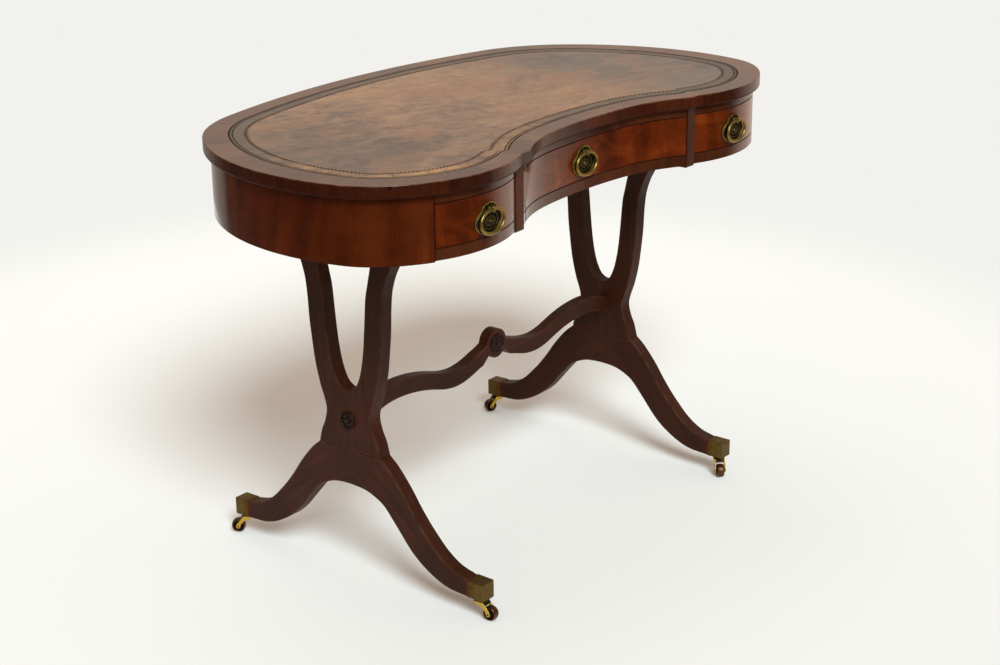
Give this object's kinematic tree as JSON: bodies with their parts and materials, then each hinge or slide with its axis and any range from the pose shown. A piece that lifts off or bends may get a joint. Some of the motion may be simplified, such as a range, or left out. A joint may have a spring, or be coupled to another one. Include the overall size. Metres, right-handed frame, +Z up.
{
  "type": "writing desk",
  "caption": "Kidney shaped mahogany writing desk with a leather top, drawers in a curved frieze, and lyre end supports on sabre legs with brass castors.",
  "frame": {"origin": "on the floor under the middle of the desk's overall length and depth", "axes": "+X along the length to the right drawer, -Y out of the hollow drawer side, +Z up"},
  "size_m": [1.1202, 0.6121, 0.7425],
  "materials": {
    "top_veneer": "French polished mahogany crossbanding, slightly hazed",
    "frieze_veneer": "French polished figured mahogany veneer",
    "pedestal_wood": "dark waxed mahogany with worn arrises",
    "oak": "unpolished oak",
    "pine": "unpolished pine",
    "leather": "mottled brown hide with a tooled border",
    "old_brass": "dulled antique brass",
    "bright_brass": "polished brass",
    "castor_bronze": "dark bronzed brass"
  },
  "bodies": {
    "desk": {"bearer_left": "pine", "bearer_right": "pine", "dust_board": "oak", "frieze_band": "frieze_veneer", "leather_inset": "leather", "lower_rail_center": "frieze_veneer", "lower_rail_left": "frieze_veneer", "lower_rail_right": "frieze_veneer", "lyre_left": "pedestal_wood", "lyre_right": "pedestal_wood", "partition_left": "oak", "partition_right": "oak", "rosette_left": "pedestal_wood", "rosette_right": "pedestal_wood", "roundel_back": "pedestal_wood", "roundel_front": "pedestal_wood", "shoe_left": "pedestal_wood", "shoe_right": "pedestal_wood", "stile_left": "frieze_veneer", "stile_right": "frieze_veneer", "stretcher": "pedestal_wood", "toe_cap_left_back": "old_brass", "toe_cap_left_front": "old_brass", "toe_cap_right_back": "old_brass", "toe_cap_right_front": "old_brass", "top_board": "top_veneer", "upper_rail_center": "frieze_veneer", "upper_rail_left": "frieze_veneer", "upper_rail_right": "frieze_veneer"},
    "drawer_left": {"drawer_left_front": "frieze_veneer", "drawer_left_box": "oak", "drawer_left_bottom": "pine", "handle_left_plate": "old_brass"},
    "ring_left": {"handle_left_ring": "old_brass"},
    "drawer_center": {"drawer_center_front": "frieze_veneer", "drawer_center_box": "oak", "drawer_center_bottom": "pine", "handle_center_plate": "old_brass"},
    "ring_center": {"handle_center_ring": "old_brass"},
    "drawer_right": {"drawer_right_front": "frieze_veneer", "drawer_right_box": "oak", "drawer_right_bottom": "pine", "handle_right_plate": "old_brass"},
    "ring_right": {"handle_right_ring": "old_brass"},
    "castor_left_front": {"fork_left_front": "bright_brass", "axle_left_front": "bright_brass"},
    "roller_left_front": {"wheel_left_front": "castor_bronze"},
    "castor_left_back": {"fork_left_back": "bright_brass", "axle_left_back": "bright_brass"},
    "roller_left_back": {"wheel_left_back": "castor_bronze"},
    "castor_right_front": {"fork_right_front": "bright_brass", "axle_right_front": "bright_brass"},
    "roller_right_front": {"wheel_right_front": "castor_bronze"},
    "castor_right_back": {"fork_right_back": "bright_brass", "axle_right_back": "bright_brass"},
    "roller_right_back": {"wheel_right_back": "castor_bronze"}
  },
  "joints": [
    {"name": "drawer_left_slide", "type": "slide", "parent": "desk", "child": "drawer_left", "axis": [0, -1, 0], "range_m": [0, 0.28]},
    {"name": "drawer_center_slide", "type": "slide", "parent": "desk", "child": "drawer_center", "axis": [0, -1, 0], "range_m": [0, 0.32]},
    {"name": "drawer_right_slide", "type": "slide", "parent": "desk", "child": "drawer_right", "axis": [0, -1, 0], "range_m": [0, 0.28]},
    {"name": "ring_left_swing", "type": "hinge", "parent": "drawer_left", "child": "ring_left", "pos_m": [-0.343, -0.30048, 0.681], "axis": [-1, 0, 0], "range_deg": [-2, 95]},
    {"name": "ring_center_swing", "type": "hinge", "parent": "drawer_center", "child": "ring_center", "pos_m": [0, -0.22532, 0.6853], "axis": [-1, 0, 0], "range_deg": [-2, 95]},
    {"name": "ring_right_swing", "type": "hinge", "parent": "drawer_right", "child": "ring_right", "pos_m": [0.343, -0.30048, 0.6838], "axis": [-1, 0, 0], "range_deg": [-2, 95]},
    {"name": "castor_left_front_swivel", "type": "hinge", "parent": "desk", "child": "castor_left_front", "pos_m": [-0.3555, -0.27687, 0.0355], "axis": [0, 0, 1], "continuous": true},
    {"name": "roller_left_front_roll", "type": "hinge", "parent": "castor_left_front", "child": "roller_left_front", "pos_m": [-0.35337, -0.29424, 0.0122], "axis": [0.9925, 0.1219, 0], "continuous": true},
    {"name": "castor_left_back_swivel", "type": "hinge", "parent": "desk", "child": "castor_left_back", "pos_m": [-0.3555, 0.25123, 0.0355], "axis": [0, 0, 1], "continuous": true},
    {"name": "roller_left_back_roll", "type": "hinge", "parent": "castor_left_back", "child": "roller_left_back", "pos_m": [-0.36603, 0.2652, 0.0122], "axis": [-0.7986, -0.6018, 0], "continuous": true},
    {"name": "castor_right_front_swivel", "type": "hinge", "parent": "desk", "child": "castor_right_front", "pos_m": [0.3555, -0.27687, 0.0355], "axis": [0, 0, 1], "continuous": true},
    {"name": "roller_right_front_roll", "type": "hinge", "parent": "castor_right_front", "child": "roller_right_front", "pos_m": [0.34249, -0.28858, 0.0122], "axis": [0.6691, -0.7431, 0], "continuous": true},
    {"name": "castor_right_back_swivel", "type": "hinge", "parent": "desk", "child": "castor_right_back", "pos_m": [0.3555, 0.25123, 0.0355], "axis": [0, 0, 1], "continuous": true},
    {"name": "roller_right_back_roll", "type": "hinge", "parent": "castor_right_back", "child": "roller_right_back", "pos_m": [0.34034, 0.25998, 0.0122], "axis": [-0.5, -0.866, 0], "continuous": true}
  ]
}
